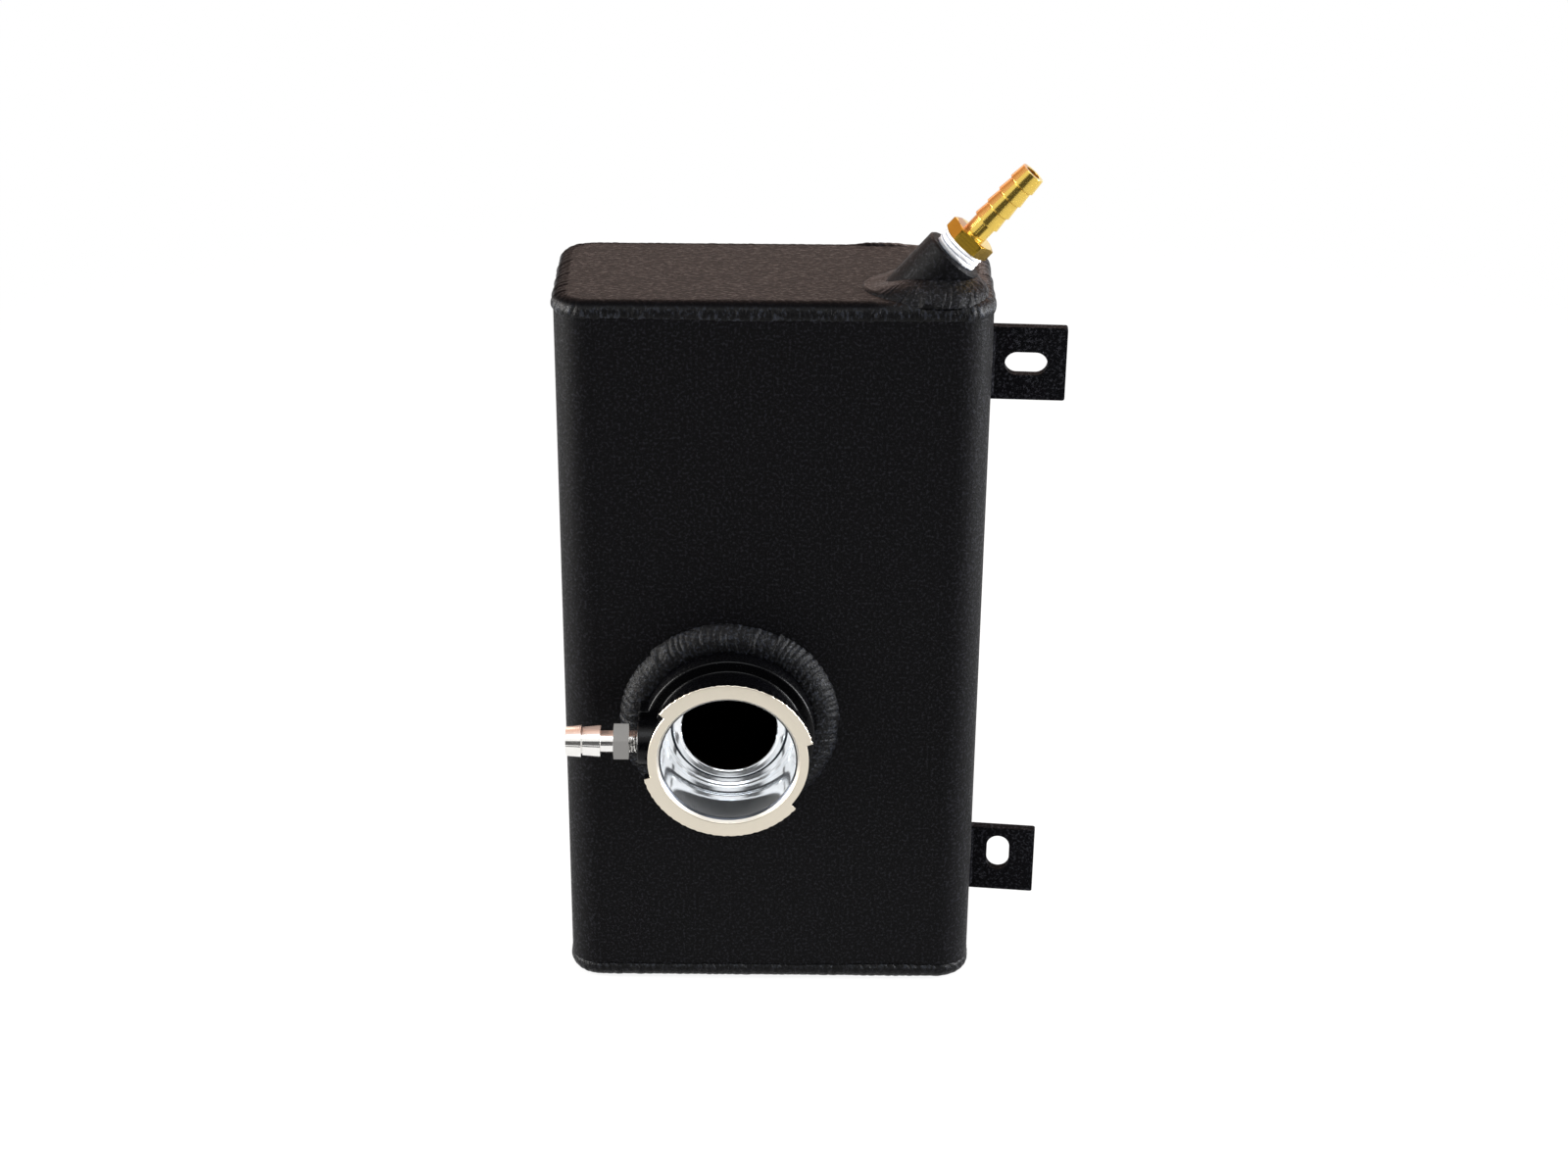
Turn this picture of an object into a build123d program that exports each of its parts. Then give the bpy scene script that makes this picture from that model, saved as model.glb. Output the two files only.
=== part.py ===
from build123d import *
from math import cos, radians, sin, sqrt
import os

# Coolant expansion tank, in millimetres. +Z is up and the filler neck faces -Y.
# The origin is the middle of the underside that the tank stands on.

# Tank shell
tank_width = 139.7
tank_depth = 57.15
tank_height = 254.0
corner_radius = 11.0
wall = 3.2
plate = 3.2
plate_inset = 2.0

# Seam beads: how far they run down the wall and in over the plate's bevelled edge
seam_leg = 5.2
seam_bevel = 1.5
seam_land = plate_inset + seam_bevel

# Filler neck, with heights measured out from the tank's front face
neck_x = -13.9
neck_z = 104.1
neck_height = 27.0
bore_radius = 15.9
spigot_wall = 3.1
spigot_gap = 0.2
throat_radius = 22.2
throat_chamfer = 1.5
seat_height = 5.6
seat_land = 2.8
seat_relief = 1.0
seat_ledge = 0.9
neck_wall = 2.6
base_step = 3.8
base_height = 10.7
base_edge = 0.5
flange_lip = 1.7
flange_thickness = 3.8
ear_lip = 2.1
ear_span = 128.0
ear_turn = 14.0
spigot_radius = bore_radius + spigot_wall
groove_radius = throat_radius + neck_wall
base_radius = groove_radius + base_step
flange_radius = groove_radius + flange_lip
ear_radius = flange_radius + ear_lip
flange_back = neck_height - flange_thickness

# Overflow boss on the neck, standing on a pad that is blended into the base ring
boss_stand = 1.55
boss_rise = 3.3
boss_radius = 8.0
pad_lip = 1.6
pad_blend_share = 0.75
port_depth = 6.0
port_passage = 2.2
boss_reach = base_radius + boss_stand
boss_height = base_height + boss_rise
pad_half = boss_radius + pad_lip
pad_blend_limit = (boss_reach**2 - base_radius**2 + pad_half**2) / (2 * (base_radius - pad_half))

# Bead round the neck's base
neck_bead_leg = 8.2
neck_bead_height = 4.4
neck_bead_crown = 0.9

# Overflow hose barb, with lengths measured out from the boss
overflow_thread = 3.95
overflow_hex = 12.0
overflow_hex_start = 2.7
overflow_hex_length = 5.3
overflow_stem = 3.7
overflow_stem_length = 4.3
overflow_crest = 5.4
overflow_neck = 4.8
overflow_crest_lengths = (7.0, 5.0)
overflow_bore = 2.4

# Vent hose barb, with lengths measured out from the bung's rim
vent_thread = 6.75
vent_thread_depth = 7.4
vent_hex = 14.3
vent_hex_start = 4.4
vent_hex_length = 4.6
vent_hex_turn = -12.0
vent_stem = 3.9
vent_stem_length = 5.3
vent_crest = 4.5
vent_neck = 3.95
vent_crest_length = 5.35
vent_crest_count = 4
vent_bore = 2.6

# Play round a male thread, and the turns of tape on the vent barb's thread
thread_gap = 0.1
tape_thickness = 0.4

# Vent bung, which leans to the right on the top plate
bung_side_inset = 22.05
bung_front_inset = 17.075
bung_tilt = 41.0
bung_wall = 3.35
bung_height = 14.4
bung_edge = 0.6
bung_shoulder = 1.3
bung_bead_height = 3.6
bung_bead_leg = 3.2
bung_bead_drift = 1.4
bung_bead_lip = 0.3
bung_x = tank_width / 2 - bung_side_inset
bung_y = bung_front_inset - tank_depth / 2
bung_radius = vent_thread + thread_gap + bung_wall
bung_passage = vent_thread - bung_shoulder

# Mounting tabs on the right wall, each leaning a little towards the front
tab_thickness = 3.2
tab_height = 25.4
tab_inset = 31.75
tab_front = 2.0
tab_corner = 0.8
slot_width = 8.0
slot_length = 14.0
upper_reach = 25.8
upper_lean = 3.0
upper_slot_out = 12.7
lower_reach = 24.0
lower_lean = 6.0
lower_slot_out = 11.2
lower_slot_up = 2.5
tab_bead = 2.9
tab_bead_margin = 0.6

# Outlet bung low on the rear wall
outlet_z = 30.0
outlet_bore = 8.3
outlet_wall = 4.4
outlet_height = 11.0
outlet_edge = 0.8
outlet_bead = 4.0
outlet_radius = outlet_bore + outlet_wall

# Planes and axes that the pieces share: a section plane has the radius along x and the axis along y
neck_foot = Vector(neck_x, -tank_depth / 2, neck_z)
neck_plane = Plane(neck_foot, x_dir=(1, 0, 0), z_dir=(0, -1, 0))
neck_section = Plane(neck_foot, x_dir=(1, 0, 0), z_dir=(0, 0, -1))
neck_axis = Axis(neck_foot, (0, -1, 0))
port_foot = neck_foot + Vector(-boss_reach, -boss_height, 0)
port_plane = Plane(port_foot, x_dir=(0, 0, 1), z_dir=(-1, 0, 0))
port_section = Plane(port_foot, x_dir=(0, 0, 1), z_dir=(0, -1, 0))
port_axis = Axis(port_foot, (-1, 0, 0))
tilt = radians(bung_tilt)
bung_foot = Vector(bung_x, bung_y, tank_height)
bung_plane = Plane(bung_foot, x_dir=(cos(tilt), 0, -sin(tilt)), z_dir=(sin(tilt), 0, cos(tilt)))
rim_plane = bung_plane.offset(bung_height)
rim_section = Plane(rim_plane.origin, x_dir=rim_plane.x_dir, z_dir=(0, -1, 0))
rim_axis = Axis(rim_plane.origin, rim_plane.z_dir)
outlet_foot = Vector(0, tank_depth / 2, outlet_z)
outlet_plane = Plane(outlet_foot, x_dir=(-1, 0, 0), z_dir=(0, 1, 0))
outlet_section = Plane(outlet_foot, x_dir=(1, 0, 0), z_dir=(0, 0, 1))
outlet_axis = Axis(outlet_foot, (0, 1, 0))
top_face = Plane.XY.offset(tank_height)
mid_height = Plane.XY.offset(tank_height / 2)
side_wall = Plane.YZ.offset(tank_width / 2)


# The tank's outline in plan, drawn in from the outside of the wall
def shell_outline(inset, mode=Mode.ADD):
    RectangleRounded(tank_width - 2 * inset, tank_depth - 2 * inset, corner_radius - inset, mode=mode)


# The half section of a hexagon whose corners are turned off at both ends
def hex_outline(across_flats, start, length):
    flat = across_flats / 2
    corner = across_flats / sqrt(3)
    turned = (corner - flat) / sqrt(3)
    end = start + length
    return [
        (0, start),
        (flat, start),
        (corner, start + turned),
        (corner, end - turned),
        (flat, end),
        (0, end),
    ]


# The half section of hose barb crests, each widest at its inner end
def crest_outline(start, lengths, crest, neck):
    points = []
    for length in lengths:
        points += [(crest, start), (neck, start + length)]
        start += length
    return points + [(0, start)]


# Tank body: the tube wall between the end plates, holed for the neck's spigot and the outlet
with BuildPart() as tank_body:
    with BuildSketch(Plane.XY.offset(plate)):
        shell_outline(0)
        shell_outline(wall, Mode.SUBTRACT)
    extrude(amount=tank_height - 2 * plate)
    with BuildSketch(neck_plane):
        Circle(spigot_radius + spigot_gap)
    extrude(amount=-2 * wall, mode=Mode.SUBTRACT)
    with BuildSketch(outlet_plane):
        Circle(outlet_bore)
    extrude(amount=-2 * wall, mode=Mode.SUBTRACT)

# Bottom plate: rests on the wall's end, with its outer edge bevelled for the seam
with BuildPart() as bottom_plate:
    with BuildSketch():
        shell_outline(plate_inset)
    extrude(amount=plate)
    chamfer(bottom_plate.faces().sort_by(Axis.Z)[0].edges(), seam_bevel)

# Top plate: the same plate turned over, holed under the vent bung
with BuildPart() as top_plate:
    mirror(bottom_plate.part, about=mid_height)
    with BuildSketch(bung_plane):
        Circle(bung_passage)
    extrude(amount=3 * plate, both=True, mode=Mode.SUBTRACT)

# Top weld: a convex bead from the plate's face round to the wall, swept along the corner
with BuildPart() as top_weld:
    with BuildSketch(top_face, mode=Mode.PRIVATE) as seam_path:
        shell_outline(0)
    with BuildSketch(Plane((tank_width / 2, 0, tank_height), x_dir=(1, 0, 0), z_dir=(0, -1, 0))):
        with BuildLine():
            Polyline(
                (0, -seam_leg),
                (0, -plate),
                (-plate_inset, -plate),
                (-plate_inset, -seam_bevel),
                (-seam_land, 0),
            )
            TangentArc((-seam_land, 0), (0, -seam_leg), tangent=(1, 0))
        make_face()
    sweep(path=seam_path.sketch.wire())

# Bottom weld: the same bead round the bottom plate
with BuildPart() as bottom_weld:
    mirror(top_weld.part, about=mid_height)

# Filler neck: one billet, turned to a spigot, a groove and a cap flange
with BuildPart() as filler_neck:
    with BuildSketch(neck_section):
        with BuildLine():
            Polyline(
                (0, -wall),
                (spigot_radius, -wall),
                (spigot_radius, 0),
                (groove_radius, 0),
                (groove_radius, flange_back),
                (flange_radius, flange_back),
                (flange_radius, neck_height),
                (0, neck_height),
                close=True,
            )
        make_face()
    revolve(axis=neck_axis)
    # Base ring and overflow pad in one outline
    with BuildSketch(neck_plane) as base_plan:
        Circle(base_radius)
        with Locations((-boss_reach / 2, 0)):
            Rectangle(boss_reach, 2 * pad_half)
        fillet(base_plan.vertices().group_by(Axis.X)[1], pad_blend_share * pad_blend_limit)
    extrude(amount=base_height)
    base_front = filler_neck.faces().filter_by(neck_axis).group_by(neck_axis)[2][0]
    chamfer(base_front.outer_wire().edges(), base_edge)
    # Round boss on the pad
    with BuildSketch(port_plane):
        Circle(boss_radius)
    extrude(amount=throat_radius - boss_reach)
    # Two locking ears on the flange
    for ear_start in (ear_turn, ear_turn + 180):
        with BuildSketch(neck_section.rotated((0, -ear_start, 0))):
            with Locations(((groove_radius + ear_radius) / 2, neck_height - flange_thickness / 2)):
                Rectangle(ear_radius - groove_radius, flange_thickness)
        revolve(axis=neck_axis, revolution_arc=ear_span)
    # Throat, cap seat with its relief, and bore
    with Locations(neck_plane.offset(neck_height)):
        CounterBoreHole(bore_radius, throat_radius, neck_height - seat_height, neck_height + wall)
    with BuildSketch(neck_plane.offset(seat_height)):
        Circle(throat_radius - seat_ledge)
        Circle(bore_radius + seat_land, mode=Mode.SUBTRACT)
    extrude(amount=-seat_relief, mode=Mode.SUBTRACT)
    flange_front = filler_neck.faces().sort_by(neck_axis)[-1]
    chamfer(flange_front.inner_wires().edges(), throat_chamfer)
    # Overflow port from the boss into the throat
    with Locations(port_plane):
        CounterBoreHole(port_passage, overflow_thread + thread_gap, port_depth, boss_reach)

# Neck weld: a wide convex bead in the corner between the neck's base and the front face
with BuildPart() as neck_weld:
    bead_radius = base_radius + neck_bead_leg
    bead_middle = (base_radius + neck_bead_leg / 2 + neck_bead_crown, neck_bead_height / 2 + neck_bead_crown)
    with BuildSketch(neck_section):
        with BuildLine():
            Polyline(
                (bead_radius, 0),
                (groove_radius, 0),
                (groove_radius, neck_bead_height),
                (base_radius, neck_bead_height),
            )
            ThreePointArc((base_radius, neck_bead_height), bead_middle, (bead_radius, 0))
        make_face()
    revolve(axis=neck_axis)
    add(filler_neck.part, mode=Mode.SUBTRACT)

# Overflow barb: hex, thread into the boss, stem and crests, bored through
with BuildPart() as overflow_barb:
    overflow_stem_start = overflow_hex_start + overflow_hex_length
    overflow_crest_start = overflow_stem_start + overflow_stem_length
    with BuildSketch(port_plane.offset(overflow_hex_start)):
        RegularPolygon(overflow_hex / 2, 6, major_radius=False)
    extrude(amount=overflow_hex_length)
    with BuildSketch(port_section):
        with BuildLine():
            Polyline(hex_outline(overflow_hex, overflow_hex_start, overflow_hex_length), close=True)
        make_face()
    revolve(axis=port_axis, mode=Mode.INTERSECT)
    with BuildSketch(port_section):
        with BuildLine():
            Polyline(
                (0, -port_depth),
                (overflow_thread, -port_depth),
                (overflow_thread, overflow_stem_start),
                (overflow_stem, overflow_stem_start),
                (overflow_stem, overflow_crest_start),
                *crest_outline(overflow_crest_start, overflow_crest_lengths, overflow_crest, overflow_neck),
                close=True,
            )
        make_face()
    revolve(axis=port_axis)
    with Locations(port_plane.offset(overflow_crest_start + sum(overflow_crest_lengths))):
        Hole(overflow_bore)

# Vent bung: a bored stub, mitred to sit on the top plate
with BuildPart() as vent_bung:
    with BuildSketch(rim_plane):
        Circle(bung_radius)
    extrude(amount=-2 * bung_height)
    split(bisect_by=top_face, keep=Keep.TOP)
    with Locations(rim_plane):
        CounterBoreHole(bung_passage, vent_thread + thread_gap, vent_thread_depth, 2 * bung_height)
    chamfer(vent_bung.faces().sort_by(rim_axis)[-1].outer_wire().edges(), bung_edge)

# Bung weld: a fillet round the mitred foot, longer on the side the bung leans away from
with BuildPart() as bung_weld:
    bung_half = bung_radius / cos(tilt)
    with BuildSketch(top_face):
        with Locations((bung_x - bung_bead_drift, bung_y)):
            Ellipse(bung_half + bung_bead_leg + bung_bead_drift, bung_radius + bung_bead_leg)
    with BuildSketch(top_face.offset(bung_bead_height)):
        with Locations((bung_x + bung_bead_height * sin(tilt) / cos(tilt), bung_y)):
            Ellipse(bung_half + bung_bead_lip, bung_radius + bung_bead_lip)
    loft()
    with BuildSketch(rim_plane):
        Circle(bung_radius)
    extrude(amount=-3 * bung_height, mode=Mode.SUBTRACT)

# Vent barb: hex, thread into the bung, stem and crests, bored through
with BuildPart() as vent_barb:
    vent_stem_start = vent_hex_start + vent_hex_length
    vent_crest_start = vent_stem_start + vent_stem_length
    vent_crest_lengths = [vent_crest_length] * vent_crest_count
    with BuildSketch(rim_plane.offset(vent_hex_start)):
        RegularPolygon(vent_hex / 2, 6, major_radius=False, rotation=vent_hex_turn)
    extrude(amount=vent_hex_length)
    with BuildSketch(rim_section):
        with BuildLine():
            Polyline(hex_outline(vent_hex, vent_hex_start, vent_hex_length), close=True)
        make_face()
    revolve(axis=rim_axis, mode=Mode.INTERSECT)
    with BuildSketch(rim_section):
        with BuildLine():
            Polyline(
                (0, -vent_thread_depth),
                (vent_thread, -vent_thread_depth),
                (vent_thread, vent_hex_start),
                (vent_stem, vent_hex_start),
                (vent_stem, vent_crest_start),
                *crest_outline(vent_crest_start, vent_crest_lengths, vent_crest, vent_neck),
                close=True,
            )
        make_face()
    revolve(axis=rim_axis)
    with Locations(rim_plane.offset(vent_crest_start + sum(vent_crest_lengths))):
        Hole(vent_bore)

# Thread tape: wrapped round the thread between the bung's rim and the hex
with BuildPart() as thread_tape:
    with BuildSketch(rim_plane):
        Circle(vent_thread + thread_gap + tape_thickness)
        Circle(vent_thread + thread_gap, mode=Mode.SUBTRACT)
    extrude(amount=vent_hex_start)


# A slotted tab whose inner end is trimmed flush to the side wall
def mounting_tab(middle, reach, lean, slot_place, slot_angle):
    turn = radians(lean)
    face = Plane(
        (tank_width / 2, tab_front, middle),
        x_dir=(cos(turn), -sin(turn), 0),
        z_dir=(-sin(turn), -cos(turn), 0),
    )
    with BuildPart() as tab:
        with BuildSketch(face) as outline:
            with Locations(((reach - tab_thickness) / 2, 0)):
                Rectangle(reach + tab_thickness, tab_height)
            fillet(outline.vertices().group_by(Axis.X)[-1], tab_corner)
            with Locations(slot_place):
                SlotOverall(slot_length, slot_width, rotation=slot_angle, mode=Mode.SUBTRACT)
        extrude(amount=-tab_thickness)
        split(bisect_by=side_wall, keep=Keep.TOP)
    return tab


# A bead in the corner that a tab's face makes with the side wall
def tab_weld(tab, middle, corner_y):
    length = tab_height - 2 * tab_bead_margin
    with BuildPart() as bead:
        with BuildSketch(Plane.XY.offset(middle - length / 2)):
            with Locations((tank_width / 2, corner_y)):
                Circle(tab_bead)
        extrude(amount=length)
        split(bisect_by=side_wall, keep=Keep.TOP)
        add(tab.part, mode=Mode.SUBTRACT)
    return bead


upper_middle = tank_height - tab_inset
lower_middle = tab_inset
upper_back = tab_front + tab_thickness / cos(radians(upper_lean))
lower_back = tab_front + tab_thickness / cos(radians(lower_lean))
upper_tab = mounting_tab(upper_middle, upper_reach, upper_lean, (upper_slot_out, 0), 0)
lower_tab = mounting_tab(lower_middle, lower_reach, lower_lean, (lower_slot_out, lower_slot_up), 90)
upper_tab_weld = tab_weld(upper_tab, upper_middle, tab_front)
upper_tab_rear_weld = tab_weld(upper_tab, upper_middle, upper_back)
lower_tab_weld = tab_weld(lower_tab, lower_middle, tab_front)
lower_tab_rear_weld = tab_weld(lower_tab, lower_middle, lower_back)

# Outlet bung: a plain bored stub on the rear wall
with BuildPart() as outlet_bung:
    with BuildSketch(outlet_plane):
        Circle(outlet_radius)
        Circle(outlet_bore, mode=Mode.SUBTRACT)
    extrude(amount=outlet_height)
    chamfer(outlet_bung.faces().sort_by(outlet_axis)[-1].outer_wire().edges(), outlet_edge)

# Outlet weld: a fillet round the outlet bung
with BuildPart() as outlet_weld:
    with BuildSketch(outlet_section):
        with BuildLine():
            Polyline((outlet_radius, outlet_bead), (outlet_radius, 0), (outlet_radius + outlet_bead, 0))
            CenterArc((outlet_radius, 0), outlet_bead, 0, 90)
        make_face()
    revolve(axis=outlet_axis)

pieces = {
    "tank_body": tank_body,
    "bottom_plate": bottom_plate,
    "top_plate": top_plate,
    "top_weld": top_weld,
    "bottom_weld": bottom_weld,
    "filler_neck": filler_neck,
    "neck_weld": neck_weld,
    "overflow_barb": overflow_barb,
    "vent_bung": vent_bung,
    "bung_weld": bung_weld,
    "vent_barb": vent_barb,
    "thread_tape": thread_tape,
    "upper_tab": upper_tab,
    "lower_tab": lower_tab,
    "upper_tab_weld": upper_tab_weld,
    "upper_tab_rear_weld": upper_tab_rear_weld,
    "lower_tab_weld": lower_tab_weld,
    "lower_tab_rear_weld": lower_tab_rear_weld,
    "outlet_bung": outlet_bung,
    "outlet_weld": outlet_weld,
}
os.makedirs("parts", exist_ok=True)
for name, piece in pieces.items():
    piece.part.label = name
    export_step(piece.part, f"parts/{name}.step")
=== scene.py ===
import bpy
import bmesh
import numpy as np
from math import cos, pi, radians, sin, sqrt, tan
from mathutils import Matrix, Vector


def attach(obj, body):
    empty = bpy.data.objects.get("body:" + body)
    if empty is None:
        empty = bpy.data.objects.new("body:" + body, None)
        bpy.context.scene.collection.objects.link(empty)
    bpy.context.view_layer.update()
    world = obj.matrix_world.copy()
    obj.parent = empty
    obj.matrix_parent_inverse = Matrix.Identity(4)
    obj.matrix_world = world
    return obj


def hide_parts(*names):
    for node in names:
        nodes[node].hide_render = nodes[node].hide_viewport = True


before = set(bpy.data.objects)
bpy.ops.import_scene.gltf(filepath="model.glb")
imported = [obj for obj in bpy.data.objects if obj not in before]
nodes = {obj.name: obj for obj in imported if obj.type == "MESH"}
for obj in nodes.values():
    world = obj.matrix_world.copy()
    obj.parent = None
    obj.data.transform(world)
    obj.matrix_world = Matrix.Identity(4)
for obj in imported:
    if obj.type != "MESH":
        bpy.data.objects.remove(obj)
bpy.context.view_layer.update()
rng = np.random.default_rng(11)
mm = 0.001

# the tank's own sizes in mm, as the solids have them
tank = {"width": 139.7, "depth": 57.15, "height": 254.0, "corner": 11.0}
front = -tank["depth"] / 2


# shader helpers
class Wire:
    # one socket; sums, products, powers and comparisons of wires and numbers add Math nodes,
    # and | takes the larger of two
    def __init__(self, tree, link):
        self.tree = tree
        self.link = link

    def maths(self, operation, first, second=0.0):
        made = self.tree.nodes.new("ShaderNodeMath")
        made.operation = operation
        for place, value in enumerate((first, second)):
            if isinstance(value, Wire):
                self.tree.links.new(value.link, made.inputs[place])
            else:
                made.inputs[place].default_value = value
        return Wire(self.tree, made.outputs[0])

    def __add__(self, other):
        return self.maths("ADD", self, other)

    def __sub__(self, other):
        return self.maths("SUBTRACT", self, other)

    def __rsub__(self, other):
        return self.maths("SUBTRACT", other, self)

    def __mul__(self, other):
        return self.maths("MULTIPLY", self, other)

    def __pow__(self, other):
        return self.maths("POWER", self, other)

    def __gt__(self, other):
        return self.maths("GREATER_THAN", self, other)

    def __lt__(self, other):
        return self.maths("LESS_THAN", self, other)

    def __or__(self, other):
        return self.maths("MAXIMUM", self, other)

    __radd__ = __add__
    __rmul__ = __mul__


class Finish:
    # one node tree, for a material or the world
    def __init__(self, owner, output="OutputMaterial"):
        owner.use_nodes = True
        self.owner = owner
        self.tree = owner.node_tree
        self.tree.nodes.clear()
        self.output = self.tree.nodes.new("ShaderNode" + output)

    def node(self, kind, settings=None, sockets=None, out=0):
        made = self.tree.nodes.new("ShaderNode" + kind)
        for key, value in (settings or {}).items():
            setattr(made, key, value)
        for key, value in (sockets or {}).items():
            if isinstance(value, Wire):
                self.tree.links.new(value.link, made.inputs[key])
            else:
                made.inputs[key].default_value = value
        return Wire(self.tree, made.outputs[out])

    def blend(self, share, low, high):
        # 6, 7 and 2 are the Mix node's colour sockets
        return self.node("Mix", {"data_type": "RGBA"}, {"Factor": share, 6: low, 7: high}, 2)

    def mix(self, share, first, second):
        return self.node("MixShader", None, {0: share, 1: first, 2: second})

    def place(self):
        return self.node("TexCoord", out="Object")

    def ray(self, kind):
        return self.node("LightPath", out="Is " + kind + " Ray")

    def sine(self, value):
        return self.node("Math", {"operation": "SINE"}, {0: value})

    def length(self, first, second):
        # length of a vector with these two parts
        return (first * first + second * second) ** 0.5

    def bump(self, height, strength, distance):
        return self.node("Bump", None, {"Strength": strength, "Distance": distance, "Height": height})

    def noise(self, scale, detail=2.0, rough=0.5, squeeze=(1, 1, 1)):
        place = self.node("VectorMath", {"operation": "MULTIPLY"}, {0: self.place(), 1: squeeze})
        sockets = {"Vector": place, "Scale": scale, "Detail": detail, "Roughness": rough}
        return self.node("TexNoise", None, sockets)

    def ramp(self, value, low, high, start=0, end=1):
        sockets = {0: value, 1: low, 2: high, 3: start, 4: end}
        return self.node("MapRange", {"interpolation_type": "SMOOTHSTEP"}, sockets)

    def along(self, origin, axis):
        # distance in metres from origin along axis
        shifted = self.node("VectorMath", {"operation": "SUBTRACT"}, {0: self.place(), 1: origin})
        return self.node("VectorMath", {"operation": "DOT_PRODUCT"}, {0: shifted, 1: axis}, "Value")

    def done(self, shader, socket="Surface"):
        self.tree.links.new(shader.link, self.output.inputs[socket])
        return self.owner


def newFinish(name):
    return Finish(bpy.data.materials.new(name))


# finishes
coat = {
    "black": (0.0007, 0.0007, 0.0010, 1),
    "speck": (0.0074, 0.0074, 0.0094, 1),
    # a warm painted reflection for the top plate's crests
    "paintedWarmSheen": (0.0150, 0.0116, 0.0112, 1),
    # a bluish painted highlight for the crests of beads
    "paintedBlueGlint": (0.0140, 0.0156, 0.0200, 1),
    # a pale painted highlight for crests
    "paintedPaleGlint": (0.0155, 0.0158, 0.0190, 1),
    "ink": (0.0022, 0.0022, 0.0028, 1),
    # a bluish painted highlight for the bottom bead's ledge
    "ledge": (0.0150, 0.0170, 0.0205, 1),
    "grain": 1050, "grainShare": 0.8, "crest": (0.51, 0.63), "sheen": 0.08,
    "peel": 330, "peelShare": 0.2, "bump": 0.0003,
}


def coatShader(f, rough=0.46, depth=0.8, speck="speck", gloss=0.075, base="black", squeeze=(1, 1, 1)):
    # wrinkled grain of about a millimetre plus a broader orange peel, both as bump; the crests of the grain
    # are also smoother than the valleys, and painted paler: a painted highlight standing in for their glints
    grain = f.noise(coat["grain"], 3.0, 0.65, squeeze)
    peel = f.noise(coat["peel"])
    # the crests take the speck colour, a painted highlight
    crest = f.ramp(grain, *coat["crest"])
    height = grain * coat["grainShare"] + peel * coat["peelShare"]
    sockets = {
        "Base Color": f.blend(crest, coat[base], coat[speck]),
        "Roughness": rough + coat["sheen"] - crest * (2 * coat["sheen"]),
        "Specular IOR Level": gloss,
        "Normal": f.bump(height, 1.0, depth * coat["bump"]),
    }
    return f.node("BsdfPrincipled", None, sockets)


def powderCoat(name, **more):
    f = newFinish(name)
    return f.done(coatShader(f, **more))


def passingCoat(name, origin, axis, start, end, before, after):
    # one recipe of coat passing into another between two distances along an axis
    f = newFinish(name)
    share = f.ramp(f.along(origin, axis), start, end)
    return f.done(f.mix(share, coatShader(f, **before), coatShader(f, **after)))


turning = {
    "lineShare": 0.5, "tooth": 2600, "toothShare": 0.2, "bump": 0.0001,
    "haze": 160, "hazeDull": 0.9, "hazeRough": 0.08,
}


def turnedMetal(f, colour, rough, marks, pitch, strength=0.12, metal=1.0):
    # bright metal with fine turning lines: the sine of a running length over the pitch, broken by noise
    line = f.sine(marks * (2 * pi / pitch))
    haze = f.noise(turning["haze"], 3.0, 0.6)
    height = line * turning["lineShare"] + f.noise(turning["tooth"]) * turning["toothShare"]
    dull = tuple(turning["hazeDull"] * c for c in colour[:3]) + (1,)
    sockets = {
        "Base Color": f.blend(haze, dull, colour),
        "Metallic": metal,
        "Roughness": rough + haze * turning["hazeRough"],
        "Normal": f.bump(height, strength, turning["bump"]),
    }
    return f.node("BsdfPrincipled", None, sockets)


coatFlat = powderCoat("coatFlat")
# the top plate's crests are tinted warm brown, a painted reflection of the warm light behind it
coatTop = powderCoat("coatTop", rough=0.5, speck="paintedWarmSheen", squeeze=(0.55, 1.4, 1), depth=1.4)
# the bead's crests are painted bluish, a painted highlight of the light they catch
coatBead = powderCoat("coatBead", rough=0.32, depth=1.6, speck="paintedBlueGlint", gloss=0.115)
coatSeam = powderCoat("coatSeam", rough=0.28, depth=1.8, gloss=0.13)
# the tab's crests are painted pale, a painted highlight
coatTab = powderCoat("coatTab", rough=0.55, depth=0.7, speck="paintedPaleGlint", gloss=0.02, base="ink")
print("finishes ready")


# mesh helpers
def gridFaces(n, m, wrap):
    # quads between neighbouring points of an n by m grid, always closed across and closed along if wrap is set
    i, j = np.meshgrid(np.arange(n if wrap else n - 1), np.arange(m), indexing="ij")
    ahead, side = (i + 1) % n, (j + 1) % m
    return np.stack([i * m + j, ahead * m + j, ahead * m + side, i * m + side], -1).reshape(-1, 4)


def makePiece(name, grids, finish, node, sharp=42):
    points, faces, start = [], [], 0
    for grid, wrap in grids:
        n, m = grid.shape[:2]
        points.append(grid.reshape(-1, 3) * mm)
        faces += (gridFaces(n, m, wrap) + start).tolist()
        if not wrap:
            faces += [list(range(start, start + m)), list(range(start + (n - 1) * m, start + n * m))]
        start += n * m
    mesh = bpy.data.meshes.new(name)
    mesh.from_pydata(np.concatenate(points).tolist(), [], faces)
    work = bmesh.new()
    work.from_mesh(mesh)
    bmesh.ops.recalc_face_normals(work, faces=work.faces)
    work.to_mesh(mesh)
    work.free()
    mesh.shade_smooth()
    mesh.set_sharp_from_angle(angle=radians(sharp))
    mesh.materials.append(finish)
    piece = bpy.data.objects.new(name, mesh)
    bpy.context.scene.collection.objects.link(piece)
    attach(piece, "root")
    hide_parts(node)
    print("made", name, len(faces), "faces")
    return piece


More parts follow.
